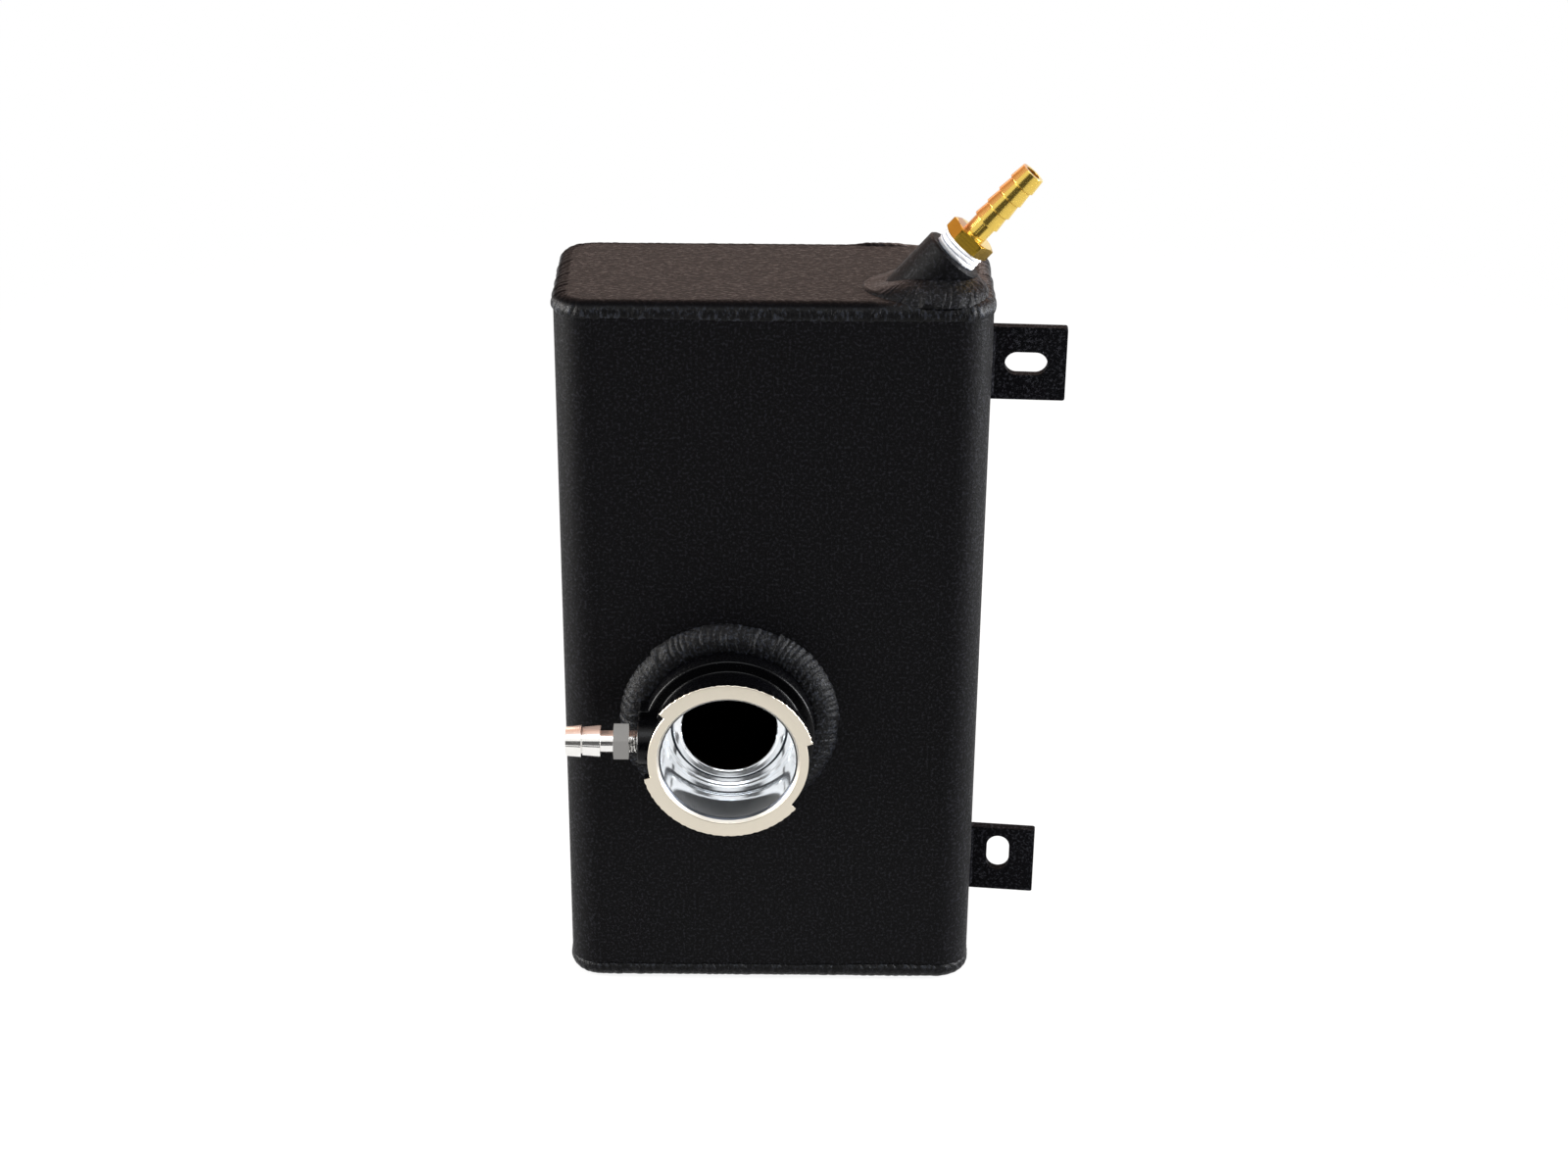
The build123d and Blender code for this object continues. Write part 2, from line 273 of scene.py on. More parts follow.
def roundCorners(corners, soft, steps=4):
    # every corner of a closed profile becomes a quadratic curve that starts and ends `soft` away from it,
    # or nearly half a side away where the sides are short
    before = np.roll(corners, 1, axis=-2) - corners
    after = np.roll(corners, -1, axis=-2) - corners
    lengthBefore = np.linalg.norm(before, axis=-1, keepdims=True)
    lengthAfter = np.linalg.norm(after, axis=-1, keepdims=True)
    reach = np.minimum(np.asarray(soft, float).reshape(-1, 1), 0.45 * np.minimum(lengthBefore, lengthAfter))
    t = np.linspace(0, 1, steps)[:, None]
    first = (corners + before / lengthBefore * reach)[..., None, :]
    last = (corners + after / lengthAfter * reach)[..., None, :]
    curve = (1 - t) ** 2 * first + 2 * t * (1 - t) * corners[..., None, :] + t**2 * last
    return curve.reshape(corners.shape[:-2] + (-1, 2))


def turned(profile, angles, origin, across, up, axis):
    # radius along the turning direction plus height along the axis; the profile may differ from angle to angle
    across, up, axis = (np.asarray(d, float) for d in (across, up, axis))
    ring = np.cos(angles)[:, None] * across + np.sin(angles)[:, None] * up
    profile = np.broadcast_to(profile, (len(angles),) + profile.shape[-2:])
    return np.asarray(origin, float) + profile[..., :1] * ring[:, None, :] + profile[..., 1:] * axis


def withInside(profile, inside):
    # closes every row of a grid through the same few hidden points
    inside = np.asarray(inside, float)
    return np.concatenate([profile, np.broadcast_to(inside, (len(profile),) + inside.shape)], 1)


def everyAngle(corners, angles):
    # one copy of a list of (radius, height) corners for each angle; a radius may be an array over the angles
    wide = lambda value: np.broadcast_to(value, angles.shape)
    return np.stack([np.stack([wide(r), wide(h)], -1) for r, h in corners], 1)


def evenly(count, steps):
    # places along a closed path, with so many steps for each of count ripples
    return np.arange(count * steps) / (count * steps)


def lumps(t, count, spread):
    # a row of rounded swellings, zero in the valleys between, each with a size of its own
    size = 1 + spread * rng.uniform(-1, 1, count)
    part = t % 1.0
    return size[np.floor(t).astype(int) % count] * (1 - (2 * part - 1) ** 2) ** 0.8


def wander(u, strength, waves=(2, 3, 5, 7)):
    # slow drift along a closed path: a few sines with random phases
    phases = rng.uniform(0, 2 * pi, len(waves))
    return strength * sum(np.sin(2 * pi * w * u + p) for w, p in zip(waves, phases)) / len(waves)


def beat(u, count):
    # ripple number along a closed path, running a little ahead and behind an even pace
    return count * u + wander(u, 0.9, (3, 7, 11, 17))


# seam beads round the end plates
seam = {
    "count": 132, "steps": 8, "rows": 19, "over": 0.08, "land": 3.5, "leg": 5.2,
    "raise": 0.22, "toe": 0.35, "bow": 0.6, "spread": 0.5, "drift": 0.35, "driftShare": 0.4,
    "sides": 1.3, "proud": 0.55, "lapX": 35, "lapHalf": 8.0, "lapRise": 0.9,
    "insideOut": (-1.6, -3.0), "insideUp": (-4.4, -2.4),
}


def shellPath(u):
    # the rounded rectangle walked at even speed: four quarter arcs joined by straight runs, with outward normals
    r = tank["corner"]
    quarter = np.linspace(0, pi / 2, 40)
    arcs = [quarter + k * pi / 2 for k in range(4)]
    middles = [(1, 1), (-1, 1), (-1, -1), (1, -1)]
    halves = np.array([tank["width"] / 2 - r, tank["depth"] / 2 - r])
    spokes = [np.stack([np.cos(a), np.sin(a)], -1) for a in arcs]
    path = np.concatenate([np.array(c) * halves + r * spoke for c, spoke in zip(middles, spokes)])
    normal = np.concatenate(spokes)
    path = np.concatenate([path, path[:1]])
    normal = np.concatenate([normal, normal[:1]])
    run = np.concatenate([[0], np.cumsum(np.linalg.norm(np.diff(path, axis=0), axis=1))])
    run /= run[-1]
    pick = lambda values: np.stack([np.interp(u, run, values[:, k]) for k in range(2)], -1)
    return pick(path), pick(normal)


def seamGrid(top):
    # an arc from the plate round to the wall, carried along the shell's outline; the lumps swell its radius
    # and push both toes outwards, and each lump bows along the path towards the toes
    u = evenly(seam["count"], seam["steps"])
    v = np.linspace(-seam["over"], 1 + seam["over"], seam["rows"])[None, :]
    inner, outer = np.clip(1 - v, 0, 1), np.clip(v, 0, 1)
    place, normal = shellPath(u)
    arc = (seam["land"] ** 2 + seam["leg"] ** 2) / (2 * seam["leg"])
    turn = pi / 2 - v * (pi / 2 + np.arcsin((seam["leg"] - arc) / arc))
    ripple = beat(u, seam["count"])[:, None] + seam["bow"] * (2 * v - 1) ** 2
    swell = lumps(ripple, seam["count"], seam["spread"])
    drift = wander(u, seam["drift"])[:, None]
    crown = np.sin(pi * outer) ** 0.6
    if top:
        # the short sides are more deeply rippled than the long ones
        swell = swell * (1 + seam["sides"] * np.abs(normal[:, :1]))
    radius = arc + (seam["raise"] * swell + drift * seam["driftShare"]) * crown
    toe = seam["toe"] * swell + drift
    out = -seam["land"] + radius * np.cos(turn) - toe * inner**3
    up = -arc + radius * np.sin(turn) - toe * outer**3
    if top:
        # the bead overlaps its own start on the rear edge
        isRear = place[:, 1] > 0.35 * tank["depth"]
        lap = np.exp(-((place[:, 0] - seam["lapX"]) / seam["lapHalf"]) ** 4) * isRear
        up = up + seam["lapRise"] * lap[:, None] * crown
    else:
        # the bottom bead stands proud of the two long walls, with a small ledge
        out = out + seam["proud"] * np.abs(normal[:, 1:]) ** 8 * outer**2 * (0.6 + 0.4 * swell)
    out, up = withInside(out, seam["insideOut"]), withInside(up, seam["insideUp"])
    level = tank["height"] + up if top else -up
    flat = place[:, None, :] + normal[:, None, :] * out[..., None]
    return np.concatenate([flat, level[..., None]], -1)


def topSeamCoat():
    # dull on top, up to the bung's bead, with crests painted darker as painted shade, and glossier with upright
    # strokes down the front, with bluish painted highlights on the crests
    bright = {"rough": 0.3, "depth": 2.2, "speck": "paintedBlueGlint", "gloss": 0.13, "squeeze": (0.8, 0.8, 0.35)}
    dull = {"rough": 0.5, "depth": 0.8, "speck": "ink", "gloss": 0.03}
    f = newFinish("coatHigh")
    onTop = f.ramp(f.along((0, 0, tank["height"] * mm), (0, 0, 1)), -0.0020, -0.0008)
    beforeBung = f.ramp(f.along((0, 0, 0), (1, 0, 0)), 0.030, 0.042, 1, 0)
    return f.done(f.mix(onTop * beforeBung, coatShader(f, **bright), coatShader(f, **dull)))


makePiece("topSeam", [(seamGrid(True), True)], topSeamCoat(), "top_weld")
# above about five millimetres the bottom bead's ledge has glossier, paler bluish crests: a painted highlight where it
# faces up
belowLedge = {"rough": 0.32, "depth": 1.6, "gloss": 0.11}
paintedLitLedge = {"rough": 0.32, "depth": 1.6, "speck": "ledge", "gloss": 0.16}
coatLow = passingCoat("coatLow", (0, 0, 0), (0, 0, 1), 0.0046, 0.0054, belowLedge, paintedLitLedge)
makePiece("bottomSeam", [(seamGrid(False), True)], coatLow, "bottom_weld")

# filler neck
neck = {
    "x": -13.9, "z": 104.1, "height": 27.0, "sink": 0.1,
    "bore": 15.9, "spigot": 19.0, "spigotLength": 3.2, "throat": 22.2, "mouth": 1.5, "lip": 0.9,
    "seat": 5.6, "land": 2.8, "relief": 1.0, "ledge": 0.9,
    "groove": 24.8, "base": 28.6, "baseHeight": 10.7,
    "flange": 26.5, "flangeThick": 3.8, "ear": 2.1, "earStart": 14.0, "earSpan": 128.0, "earRamp": 0.25,
    "bossReach": 30.15, "bossHeight": 14.0, "pad": 9.6, "padBlend": 2.0,
    "boss": 8.0, "bossLength": 7.4, "thread": 4.05, "threadLength": 6.0, "port": 2.2,
    "face": (0.81, 0.74, 0.615, 1), "mouthPaintedShade": (0.53, 0.50, 0.45, 1), "polish": (0.96, 0.98, 1.0, 1),
    "shade": (0.05, 0.055, 0.065, 1), "deep": (0.03, 0.011, 0.006, 1), "paintedPortShadow": (0.004, 0.004, 0.004, 1),
}
neckFoot = np.array([neck["x"], front, neck["z"]])
portFoot = neckFoot + np.array([-neck["bossReach"], -neck["bossHeight"], 0])


def neckMetal():
    # bare where the tool last cut: the flange's front face and everything inside the throat
    f = newFinish("neckMetal")
    across = f.along((neck["x"] * mm, 0, 0), (1, 0, 0))
    up = f.along((0, 0, neck["z"] * mm), (0, 0, 1))
    out = f.along((0, front * mm, 0), (0, -1, 0))
    radius = f.length(across, up)
    # the coat is chipped along the flange's edge
    chips = f.noise(700, 3.0, 0.6) * 0.0006
    inside = radius < (neck["groove"] - 0.5) * mm
    lip = (neck["height"] - neck["lip"]) * mm
    # the mouth's chamfer is rougher and painted a darker grey than the face, a painted shade that dims its reflection
    isMouth = inside * (out > lip)
    isFace = out + chips > (neck["height"] + 0.08) * mm
    # a thin ring of painted shade in the relief beside the seat, and a line of painted shade where the mouth's cut
    # ends
    ring = neck["bore"] + neck["land"] + 0.15
    isRelief = (radius > ring * mm) * (radius < (ring + 0.8) * mm) * (out < (neck["seat"] - 0.4) * mm)
    isLine = inside * (out > (neck["height"] - neck["mouth"] - 0.12) * mm) * (out < lip)
    # the bore below the seat is painted dark brown, a painted shade deep in the neck
    isPaintedBoreShade = (radius < (neck["bore"] + 0.3) * mm) * (out < (neck["seat"] - 0.9) * mm)
    # a black disc is painted on the throat wall where the port would open, a painted shadow of that opening
    portOff = up * up + (out - neck["bossHeight"] * mm) ** 2.0
    isPort = (portOff < (neck["port"] * mm) ** 2) * (across < -0.9 * neck["throat"] * mm) * inside
    faceMetal = turnedMetal(f, neck["face"], 0.26, radius, 0.0007)
    throatMetal = turnedMetal(f, neck["polish"], 0.02, out + radius, 0.0009, 0.012, 0.89)
    mouthMetal = turnedMetal(f, neck["mouthPaintedShade"], 0.42, radius, 0.0007)
    shadeMetal = turnedMetal(f, neck["shade"], 0.2, radius, 0.0006)
    paintedBoreShade = turnedMetal(f, neck["deep"], 0.3, out, 0.0009)
    bare = f.mix(isRelief | isLine, throatMetal, shadeMetal)
    for share, metal in ((isPaintedBoreShade, paintedBoreShade), (isMouth, mouthMetal), (isFace, faceMetal)):
        bare = f.mix(share, bare, metal)
    black = coatShader(f, rough=0.2, depth=0.2, speck="black", gloss=0.17)
    paintedPortShadow = f.node("BsdfDiffuse", None, {"Color": neck["paintedPortShadow"]})
    return f.done(f.mix(isPort, f.mix(isFace | inside, black, bare), paintedPortShadow))


def baseOutline(angles):
    # the round base ring and the square pad under the boss, blended by a soft maximum of their polar radii
    along = np.maximum(-np.cos(angles), 1e-3)
    side = np.maximum(np.abs(np.sin(angles)), 1e-3)
    pad = np.minimum(neck["bossReach"] / along, neck["pad"] / side)
    pad = np.where(np.cos(angles) < 0, pad, 0)
    blend = np.clip(0.5 + (pad - neck["base"]) / neck["padBlend"], 0, 1)
    return neck["base"] + (pad - neck["base"]) * blend + 0.25 * neck["padBlend"] * blend * (1 - blend)


def earOutline(angles):
    # the flange's radius with two ears on it; the ends of the ears are short ramps and their rims a little uneven
    start, span, ramp = neck["earStart"], neck["earSpan"], neck["earRamp"]
    stops = np.array([start - ramp, start + ramp, start + span - ramp, start + span + ramp])
    stops = np.concatenate([stops, stops + 180])
    share = np.interp(np.degrees(angles), stops, [0, 1, 1, 0, 0, 1, 1, 0])
    uneven = 0.07 * np.sin(angles * 61) + 0.05 * np.sin(angles * 97 + 1)
    return neck["flange"] + share * (neck["ear"] + uneven)


def neckGrids():
    # a section turned about the neck's axis, whose base and flange change with the angle, and the boss beside it;
    # each corner has a radius, a height and the length of its rounding
    ends = np.array([0, neck["earSpan"], 180, 180 + neck["earSpan"]]) + neck["earStart"]
    degrees = np.concatenate([np.arange(0, 360, 1.0), ends - neck["earRamp"], ends + neck["earRamp"]])
    angles = np.radians(np.unique(degrees))
    base, rim = baseOutline(angles), earOutline(angles)
    top, seat, foot = neck["height"], neck["seat"], -neck["spigotLength"]
    back, floor = top - neck["flangeThick"], seat - neck["relief"]
    inner, land = neck["throat"] - neck["ledge"], neck["bore"] + neck["land"]
    corners = [
        (base, -neck["sink"], 0.1), (base, neck["baseHeight"], 0.8), (neck["groove"], neck["baseHeight"], 0.6),
        (neck["groove"], back, 0.6), (rim, back, 0.45), (rim, top, 0.4),
        (neck["throat"] + neck["mouth"], top, 0.2), (neck["throat"], top - neck["mouth"], 0.4),
        (neck["throat"], seat, 0.4), (inner, seat, 0.4), (inner, floor, 0.4),
        (land, floor, 0.4), (land, seat, 0.6), (neck["bore"], seat, 1.1),
        (neck["bore"], foot, 0.1), (neck["spigot"], foot, 0.1), (neck["spigot"], -neck["sink"], 0.1),
    ]
    section = everyAngle([corner[:2] for corner in corners], angles)
    profile = roundCorners(section, [corner[2] for corner in corners], 6)
    body = turned(profile, angles, neckFoot, (1, 0, 0), (0, 0, 1), (0, -1, 0))
    # the round overflow boss, bored for the barb's thread
    bossCorners = np.array([
        (neck["boss"], -neck["bossLength"]), (neck["boss"], 0), (neck["thread"], 0),
        (neck["thread"], -neck["threadLength"]), (neck["port"], -neck["threadLength"]),
        (neck["port"], -neck["bossLength"]),
    ])
    bossProfile = roundCorners(bossCorners, [0.1, 0.7, 0.4, 0.1, 0.1, 0.1])
    bossAngles = np.linspace(0, 2 * pi, 96, endpoint=False)
    boss = turned(bossProfile, bossAngles, portFoot, (0, 0, 1), (0, 1, 0), (-1, 0, 0))
    return [(body, True), (boss, True)]


makePiece("fillerNeck", neckGrids(), neckMetal(), "filler_neck", 5)

# bead round the neck's base
neckBead = {
    "count": 84, "steps": 9, "rows": 19, "leg": 8.2, "height": 4.4, "crown": 1.5, "raise": 0.32, "toe": 0.35,
    "bow": 0.6, "spread": 0.6, "drift": 0.5, "driftShare": 0.4, "runs": 5, "runStart": 0.12, "runGrowth": 0.7,
    "under": 0.4, "liftOut": 0.47, "liftUp": 0.88, "sink": 0.12, "inside": ((3, -0.9), (-1.6, -0.6), (-1.6, 3.6)),
}


def neckBeadGrid():
    # a sloping convex band from the base ring out to the tank's face, swelling with the lumps
    b = neckBead
    u = evenly(b["count"], b["steps"])
    v = np.linspace(0, 1, b["rows"])[None, :]
    swell = lumps(beat(u, b["count"])[:, None] + b["bow"] * (2 * v - 1) ** 2, b["count"], b["spread"])
    # the bead was laid in a few runs, and each grows wider until the next one starts
    growth = (b["runs"] * u[:, None] + b["runStart"]) % 1.0 - 0.5
    drift = wander(u, b["drift"])[:, None] + b["runGrowth"] * growth
    body = np.sin(pi * v) ** 0.7
    lift = b["crown"] * body + (b["raise"] * swell + b["driftShare"] * drift) * body
    toe = (b["toe"] * swell + drift) * v**3
    radius = neck["base"] - b["under"] + (b["leg"] + b["under"]) * v + b["liftOut"] * lift + toe
    height = b["height"] * (1 - v) - b["sink"] * v**6 + b["liftUp"] * lift
    inside = [(neck["base"] + out, up) for out, up in b["inside"]]
    profile = withInside(np.stack([radius, height], -1), inside)
    return turned(profile, 2 * pi * u, neckFoot, (1, 0, 0), (0, 0, 1), (0, -1, 0))


makePiece("neckBead", [(neckBeadGrid(), True)], coatBead, "neck_weld")

# hose barbs
overflow = {
    "thread": 3.6, "depth": 0.35, "pitch": 0.95,
    "hex": 5.9, "hexStart": 2.7, "hexLength": 5.3, "chamfer": 0.3,
    "stem": 3.7, "stemLength": 4.3, "crest": 5.4, "root": 4.8, "crests": (6.4, 5.2), "groove": 0.35, "bore": 2.4,
    "metal": (0.93, 0.915, 0.89, 1), "rough": 0.03, "bar": (0.285, 0.278, 0.268, 1),
    "paintedReflection": (0.72, 0.53, 0.45, 1), "reflectionFrom": 0.80, "reflectionMetallic": 0.55,
}
vent = {
    "x": 47.8, "y": -11.5, "tilt": 41.0, "rim": 14.4, "turn": -12.0, "thread": 6.7,
    "hex": 7.15, "hexStart": 4.4, "hexLength": 4.6, "chamfer": 0.7,
    "stem": 3.9, "stemLength": 5.3, "crest": 4.6, "root": 4.05, "crests": (5.35,) * 4, "groove": 0.2, "bore": 2.6,
    "metal": (0.76, 0.53, 0.11, 1), "rough": 0.08, "bar": (0.50, 0.31, 0.035, 1),
    "paintedReflection": (0.50, 0.24, 0.06, 1), "reflectionFrom": 0.66, "reflectionMetallic": 0.85,
}
# what both barbs share: roundings in mm, and turning lines in metres
barb = {
    "grooveLength": 0.35, "grooveSlope": 0.05, "stemGap": 0.05, "cutSoft": 0.02, "turnedSoft": 0.12,
    "pitch": 0.0006, "strength": 0.1, "barPitch": 0.0011, "barStrength": 0.03,
    "shine": 0.93, "reflectionRough": 0.15, "reflectionEdge": 0.08, "barRough": 0.12,
}
lean = radians(vent["tilt"])
ventAxis = np.array([sin(lean), 0, cos(lean)])
ventAcross = np.array([cos(lean), 0, -sin(lean)])
ventRim = np.array([vent["x"], vent["y"], tank["height"]]) + vent["rim"] * ventAxis


def hexRows(angles, flat, start, length, turn, chamfer):
    # radius of a hexagon in polar form, cut back at both ends by a cone from the flats to the corners
    swing = (angles - turn + pi / 6) % (pi / 3) - pi / 6
    hexagon = flat / np.cos(pi / 6 - np.abs(swing))
    corner = flat / cos(pi / 6)
    turnedOff = chamfer * (corner - flat) / sqrt(3)
    shares = np.linspace(0, 1, 6)
    cut = [np.minimum(hexagon, flat + (corner - flat) * share) for share in shares]
    rows = [(c, start + turnedOff * share) for c, share in zip(cut, shares)]
    return rows + [(c, start + length - turnedOff * share) for c, share in zip(cut[::-1], shares[::-1])]


def crestRows(start, b):
    # saw teeth, widest at the inner end of each, with a narrow groove cut where the next one starts
    rows = []
    for length in b["crests"]:
        end, low = start + length, b["root"] - b["groove"]
        groove = end - barb["grooveLength"]
        rows += [(b["crest"], start), (b["root"], groove - barb["grooveSlope"]), (low, groove), (low, end)]
        start = end
    return rows[:-3] + [(b["root"], start)]


def barbGrid(b, threadRows, angles, turn, origin, across, up, axis):
    # a section turned about the barb's axis: thread, hexagon, stem, crests and the bore back to the thread's end
    cut = threadRows + hexRows(angles, b["hex"], b["hexStart"], b["hexLength"], turn, b["chamfer"])
    stemStart = b["hexStart"] + b["hexLength"]
    crestStart = stemStart + b["stemLength"]
    rest = [(b["stem"], stemStart + barb["stemGap"]), (b["stem"], crestStart)] + crestRows(crestStart, b)
    rest += [(b["bore"], crestStart + sum(b["crests"])), (b["bore"], threadRows[0][1])]
    soft = [barb["cutSoft"]] * len(cut) + [barb["turnedSoft"]] * len(rest)
    profile = roundCorners(everyAngle(cut + rest, angles), soft, 3)
    return turned(profile, angles, origin, across, up, axis)


def barbMetal(name, b, origin, axis, side):
    # turned metal with a painted warm reflection along one side; the hexagon keeps the duller skin of the bar it was
    # cut from
    f = newFinish(name)
    foot = tuple(origin * mm)
    run = f.along(foot, tuple(axis))
    isHex = (run > b["hexStart"] * mm) * (run < (b["hexStart"] + b["hexLength"]) * mm)
    lines = {"marks": run, "pitch": barb["pitch"], "strength": barb["strength"]}
    bright = turnedMetal(f, b["metal"], b["rough"], metal=barb["shine"], **lines)
    # a painted warm reflection for one side of the barb
    reflectedMetal = turnedMetal(f, b["paintedReflection"], b["rough"] + barb["reflectionRough"], metal=b["reflectionMetallic"], **lines)
    # cosine of the angle round the axis from the side with the painted reflection
    toSide, toward = (f.along(foot, tuple(d)) for d in (side, np.cross(axis, side)))
    cosine = toSide * (toSide * toSide + toward * toward) ** -0.5
    bright = f.mix(f.ramp(cosine, b["reflectionFrom"], b["reflectionFrom"] + barb["reflectionEdge"]), bright, reflectedMetal)
    bar = turnedMetal(f, b["bar"], b["rough"] + barb["barRough"], run, barb["barPitch"], barb["barStrength"])
    return f.done(f.mix(isHex, bright, bar))


def threadRadius(h, angles):
    # a helix of straight flanks: the distance from the middle of each turn, folded
    part = (h / overflow["pitch"] - angles / (2 * pi)) % 1.0
    return overflow["thread"] + overflow["depth"] * np.abs(2 * part - 1)


barbAngles = np.linspace(0, 2 * pi, 144, endpoint=False)
threadHeights = np.linspace(-1.0, overflow["hexStart"] - 0.1, 30)
overflowThread = [(threadRadius(h, barbAngles), h) for h in threadHeights]
overflowGrid = barbGrid(overflow, overflowThread, barbAngles, 0.0, portFoot, (0, 0, 1), (0, 1, 0), (-1, 0, 0))
nickelFinish = barbMetal("nickelFinish", overflow, portFoot, np.array([-1.0, 0, 0]), (0, 0, 1))
makePiece("overflowBarb", [(overflowGrid, True)], nickelFinish, "overflow_barb", 10)
ventThread = [(vent["thread"], -6.0), (vent["thread"], vent["hexStart"] - 0.05)]
ventTurn = radians(vent["turn"])
ventGrid = barbGrid(vent, ventThread, barbAngles + ventTurn, ventTurn, ventRim, ventAcross, (0, 1, 0), ventAxis)
brassFinish = barbMetal("brassFinish", vent, ventRim, ventAxis, -ventAcross)
makePiece("ventBarb", [(ventGrid, True)], brassFinish, "vent_barb", 10)

# white tape wound on the vent barb's thread
tape = {
    "radius": 7.15, "inner": 6.6, "length": 4.4, "gapEnd": 0.02, "turns": 2.6, "ridge": 0.28,
    "wrinkles": ((0.05, 9, 3), (0.04, 23, -5)), "gapPitch": 0.0016, "gapFrom": 0.78,
    "white": (0.84, 0.84, 0.85, 1), "shade": (0.68, 0.69, 0.71, 1), "gap": (0.24, 0.27, 0.33, 1),
}


def tapeGrid():
    # a band whose radius rises with a slanting wave, one crest for each turn of tape, with a little wrinkling
    angles = np.linspace(0, 2 * pi, 120, endpoint=False)
    low, high = tape["gapEnd"], tape["length"] - tape["gapEnd"]
    h = np.linspace(low, high, 34)[None, :]
    a = angles[:, None]
    wave = 0.5 + 0.5 * np.sin(2 * pi * (tape["turns"] * h / tape["length"] + a / (2 * pi)))
    wrinkle = sum(size * np.sin(times * a + rise * h) for size, times, rise in tape["wrinkles"])
    radius = tape["radius"] + tape["ridge"] * wave**0.7 + wrinkle
    profile = np.stack([radius, np.broadcast_to(h, radius.shape)], -1)
    profile = withInside(profile, [(tape["inner"], high), (tape["inner"], low)])
    return turned(profile, angles, ventRim, ventAcross, (0, 1, 0), ventAxis)


def tapeFinish():
    f = newFinish("tapeFinish")
    fuzz = f.noise(1500, 3.0, 0.6)
    # thin shadows between the turns
    run = f.along(tuple(ventRim * mm), tuple(ventAxis))
    gap = f.sine(run * (2 * pi / tape["gapPitch"]) + f.noise(120) * 2.0) > tape["gapFrom"]
    sockets = {
        "Base Color": f.blend(gap, f.blend(fuzz, tape["shade"], tape["white"]), tape["gap"]),
        "Roughness": 0.5 + fuzz * 0.2,
        "Specular IOR Level": 0.35,
        "Normal": f.bump(fuzz, 0.3, 0.0002),
    }
    return f.done(f.node("BsdfPrincipled", None, sockets))


makePiece("threadTape", [(tapeGrid(), True)], tapeFinish(), "thread_tape", 60)

# smaller beads
bungBead = {
    "radius": 10.2, "under": 0.15, "count": 30, "steps": 11, "rows": 19, "leg": 3.4, "height": 3.8,
    "lobe": 3.0, "front": 2.2, "corner": 4.2, "right": 1.6, "pitch": 2.9, "bow": 0.5, "spread": 0.5,
    "crown": 0.9, "frontCrown": 0.5, "raise": 0.55, "toe": 0.35, "bodyShare": 0.7, "rim": 0.5,
    "sink": 0.15, "seamSink": 0.8, "insideRadius": 1.5, "insideHigh": 2.6, "insideLow": 1.0,
}


def bungBeadGrid():
    # a hollow band between an ellipse on the plate and the slanting foot of the bung; it stands taller in front, runs
    # into the seam with ripples there and in the corner, and ends on the left in a smooth flat lobe with a raised edge
    b = bungBead
    u = evenly(b["count"], b["steps"])
    turn = 2 * pi * u[:, None]
    v = np.linspace(0, 1, b["rows"])[None, :]
    ahead = np.clip(-np.sin(turn), 0, 1)
    toLeft = np.clip(-np.cos(turn), 0, 1)
    left = toLeft**5
    right = np.clip(np.cos(turn), 0, 1) ** 2
    corner = np.clip(np.cos(turn + pi / 4), 0, 1) ** 4
    h = (b["height"] * (1 - 0.6 * left) + b["front"] * ahead) * v
    h = h - b["sink"] * (1 - v) ** 6 - b["seamSink"] * np.maximum(ahead**2, corner) * (1 - v) ** 4
    # the ripples stand upright although the bead leans with the bung
    ripple = beat(u, b["count"])[:, None] + b["bow"] * (2 * v - 1) ** 2 + ahead * h * tan(lean) / b["pitch"]
    swell = lumps(ripple, b["count"], b["spread"]) * (1 - toLeft**1.5)
    reach = b["leg"] + b["lobe"] * left + b["front"] * ahead + b["toe"] * swell * (1 - v) ** 3
    reach = reach + b["corner"] * corner + b["right"] * right
    body = b["crown"] * (1 - 0.7 * left) + b["frontCrown"] * ahead + b["raise"] * swell * (0.4 + 0.6 * ahead)
    body = b["bodyShare"] * np.sin(pi * v) ** 0.6 * (1 - 0.4 * v) * body
    rim = b["rim"] * left * np.exp(-((v - 0.12) / 0.08) ** 2)
    long = b["radius"] / cos(lean)
    swept = reach * (1 - v) ** 1.25 + body - b["under"]
    x = vent["x"] + h * tan(lean) + (long + swept) * np.cos(turn)
    y = vent["y"] + (b["radius"] + swept) * np.sin(turn)
    z = tank["height"] + h + body * (1 - 0.5 * left) + rim
    outer = np.stack([x, y, z], -1)
    ringX = vent["x"] + (long - b["insideRadius"]) * np.cos(turn)
    ringY = vent["y"] + (b["radius"] - b["insideRadius"]) * np.sin(turn)
    level = np.full_like(ringX, tank["height"])
    high = np.stack([ringX + b["insideHigh"] * tan(lean), ringY, level + b["insideHigh"]], -1)
    low = np.stack([ringX, ringY, level - b["insideLow"]], -1)
    return np.concatenate([outer, high, low], 1)


# smooth and dark on the lobe, with pale painted highlight specks on the ripples
lobe = {"rough": 0.4, "depth": 0.6, "gloss": 0.07}
ripples = {"rough": 0.36, "depth": 1.6, "speck": "paintedPaleGlint", "gloss": 0.1}
coatFoot = passingCoat("coatFoot", (vent["x"] * mm, 0, 0), (1, 0, 0), -0.012, -0.004, lobe, ripples)
makePiece("bungBead", [(bungBeadGrid(), True)], coatFoot, "bung_weld")

# what the quarter-round beads share: a little more than a quarter turn, and steps and waviness of a lump
quarter = {"turn": np.linspace(-0.1, pi / 2 + 0.1, 13)[None, :], "steps": 14, "bow": 0.3, "spread": 0.3}
tabBead = {
    "radius": 2.3, "raise": 0.25, "count": 9, "half": 12.2, "faceY": 2.0, "thick": 3.2, "inset": 31.75,
    "taper": 14, "tip": 0.02, "sink": 0.4,
}


